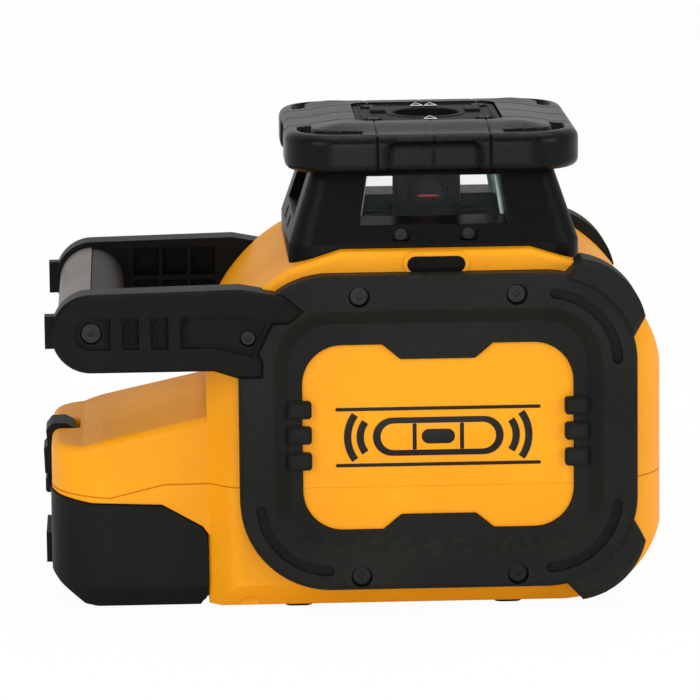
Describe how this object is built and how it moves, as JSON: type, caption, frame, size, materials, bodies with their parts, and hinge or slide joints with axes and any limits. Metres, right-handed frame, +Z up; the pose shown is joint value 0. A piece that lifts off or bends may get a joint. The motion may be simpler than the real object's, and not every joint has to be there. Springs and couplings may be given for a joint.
{
  "type": "rotary laser level",
  "caption": "Rotary laser level with a glass lantern head, self-levelling rotor, carrying handle, rubber side bumpers and a hinged battery cover.",
  "frame": {"origin": "rotor axis at the mouth of the tripod thread, in the plane of the feet", "axes": "+X towards the rear mounting face, away from the handle; +Z up along the rotor axis; +Y to the left-hand side"},
  "size_m": [0.279, 0.1728, 0.216],
  "materials": {
    "housing_yellow": "moulded ABS, fine satin texture",
    "bumper_rubber": "over-moulded rubber, fine matt grain",
    "arm_plastic": "glass-filled nylon, matt",
    "grip_grey": "smooth soft-touch shell",
    "grip_dark": "soft rubber",
    "cage_black": "satin moulded plastic",
    "cap_rubber": "matt rubber",
    "plate_black": "fine textured plastic",
    "clear_glass": "clear toughened glass",
    "dark_window": "infrared-pass tinted window",
    "black_steel": "black oxide",
    "bright_steel": "ground",
    "insert_alloy": "turned",
    "cast_alloy": "as cast",
    "rotor_black": "satin",
    "lens_glass": "coated",
    "keypad_black": "membrane",
    "key_grey": "silicone",
    "cover_black": "fine spark-eroded texture",
    "pack_black": "moulded",
    "release_grey": "moulded",
    "board_green": "solder mask",
    "gear_white": "acetal",
    "brass_part": "turned"
  },
  "bodies": {
    "housing": {"upper_housing": "housing_yellow", "lower_housing": "housing_yellow", "bumper_right": "bumper_rubber", "bumper_left": "bumper_rubber", "bumper_screws": "black_steel", "handle_arm_right": "arm_plastic", "handle_arm_left": "arm_plastic", "grip_core": "arm_plastic", "grip_outer_shell": "grip_grey", "grip_inner_shell": "grip_dark", "handle_screws": "black_steel", "cage_frame": "cage_black", "cage_screws": "black_steel", "window_right": "clear_glass", "window_left": "clear_glass", "window_front": "clear_glass", "window_rear": "clear_glass", "cage_cap": "cap_rubber", "cap_plate": "plate_black", "cap_screws": "black_steel", "receiver_window_right": "dark_window", "receiver_window_left": "dark_window", "tripod_insert": "insert_alloy", "rear_insert": "insert_alloy", "base_feet": "bumper_rubber", "housing_screws": "black_steel", "keypad_panel": "keypad_black", "lcd_window": "lens_glass", "cover_hinge_pin": "bright_steel", "latch_pin": "bright_steel", "battery_pack": "pack_black", "battery_terminals": "brass_part", "bay_seal": "bumper_rubber", "main_board": "board_green", "chassis": "cast_alloy", "level_motor_x": "bright_steel", "level_motor_y": "bright_steel"},
    "gimbal_ring": {"gimbal_ring": "cast_alloy"},
    "platform": {"levelling_platform": "cast_alloy", "laser_module": "brass_part", "collimator_lens": "lens_glass", "rotor_bearings": "bright_steel", "rotor_motor": "bright_steel"},
    "rotor": {"rotor_housing": "rotor_black", "rotor_gear": "gear_white", "pentaprism": "lens_glass", "aperture_lens": "lens_glass"},
    "pinion": {"motor_pinion": "brass_part"},
    "plunger_x": {"level_plunger_x": "bright_steel"},
    "plunger_y": {"level_plunger_y": "bright_steel"},
    "battery_cover": {"battery_cover": "cover_black"},
    "battery_latch": {"battery_latch": "cover_black"},
    "release_button": {"battery_release": "release_grey"},
    "key_power": {"key_power": "key_grey"},
    "key_speed": {"key_speed": "key_grey"},
    "key_scan": {"key_scan": "key_grey"},
    "key_up": {"key_up": "key_grey"},
    "key_down": {"key_down": "key_grey"}
  },
  "joints": [
    {"name": "gimbal_pitch", "type": "hinge", "parent": "housing", "child": "gimbal_ring", "pos_m": [0, 0, 0.118], "axis": [0, 1, 0], "range_deg": [-5, 5]},
    {"name": "gimbal_roll", "type": "hinge", "parent": "gimbal_ring", "child": "platform", "pos_m": [0, 0, 0.118], "axis": [1, 0, 0], "range_deg": [-5, 5]},
    {"name": "rotor_spin", "type": "hinge", "parent": "platform", "child": "rotor", "pos_m": [0, 0, 0.1786], "axis": [0, 0, 1], "continuous": true},
    {"name": "pinion_spin", "type": "hinge", "parent": "platform", "child": "pinion", "pos_m": [0.026, 0, 0.153], "axis": [0, 0, 1], "continuous": true},
    {"name": "plunger_x_slide", "type": "slide", "parent": "housing", "child": "plunger_x", "axis": [0, 0, 1], "range_m": [-0.003, 0.003]},
    {"name": "plunger_y_slide", "type": "slide", "parent": "housing", "child": "plunger_y", "axis": [0, 0, 1], "range_m": [-0.002, 0.002]},
    {"name": "cover_hinge", "type": "hinge", "parent": "housing", "child": "battery_cover", "pos_m": [-0.106, 0, 0.0055], "axis": [0, -1, 0], "range_deg": [0, 92]},
    {"name": "latch_hinge", "type": "hinge", "parent": "housing", "child": "battery_latch", "pos_m": [-0.1645, 0, 0.072], "axis": [0, 1, 0], "range_deg": [0, 95]},
    {"name": "release_press", "type": "slide", "parent": "housing", "child": "release_button", "axis": [1, 0, 0], "range_m": [0, 0.0025], "stiffness_N_per_m": 800},
    {"name": "power_press", "type": "slide", "parent": "housing", "child": "key_power", "axis": [0.9613, 0, -0.2756], "range_m": [0, 0.0007], "stiffness_N_per_m": 900},
    {"name": "speed_press", "type": "slide", "parent": "housing", "child": "key_speed", "axis": [0.9613, 0, -0.2756], "range_m": [0, 0.0007], "stiffness_N_per_m": 900},
    {"name": "scan_press", "type": "slide", "parent": "housing", "child": "key_scan", "axis": [0.9613, 0, -0.2756], "range_m": [0, 0.0007], "stiffness_N_per_m": 900},
    {"name": "up_press", "type": "slide", "parent": "housing", "child": "key_up", "axis": [0.9613, 0, -0.2756], "range_m": [0, 0.0007], "stiffness_N_per_m": 900},
    {"name": "down_press", "type": "slide", "parent": "housing", "child": "key_down", "axis": [0.9613, 0, -0.2756], "range_m": [0, 0.0007], "stiffness_N_per_m": 900}
  ],
  "couplings": [
    {"joint": "pinion_spin", "follows": "rotor_spin", "ratio": -3.3333},
    {"joint": "plunger_x_slide", "follows": "gimbal_pitch", "m_per_rad": -0.033},
    {"joint": "plunger_y_slide", "follows": "gimbal_roll", "m_per_rad": 0.022}
  ]
}
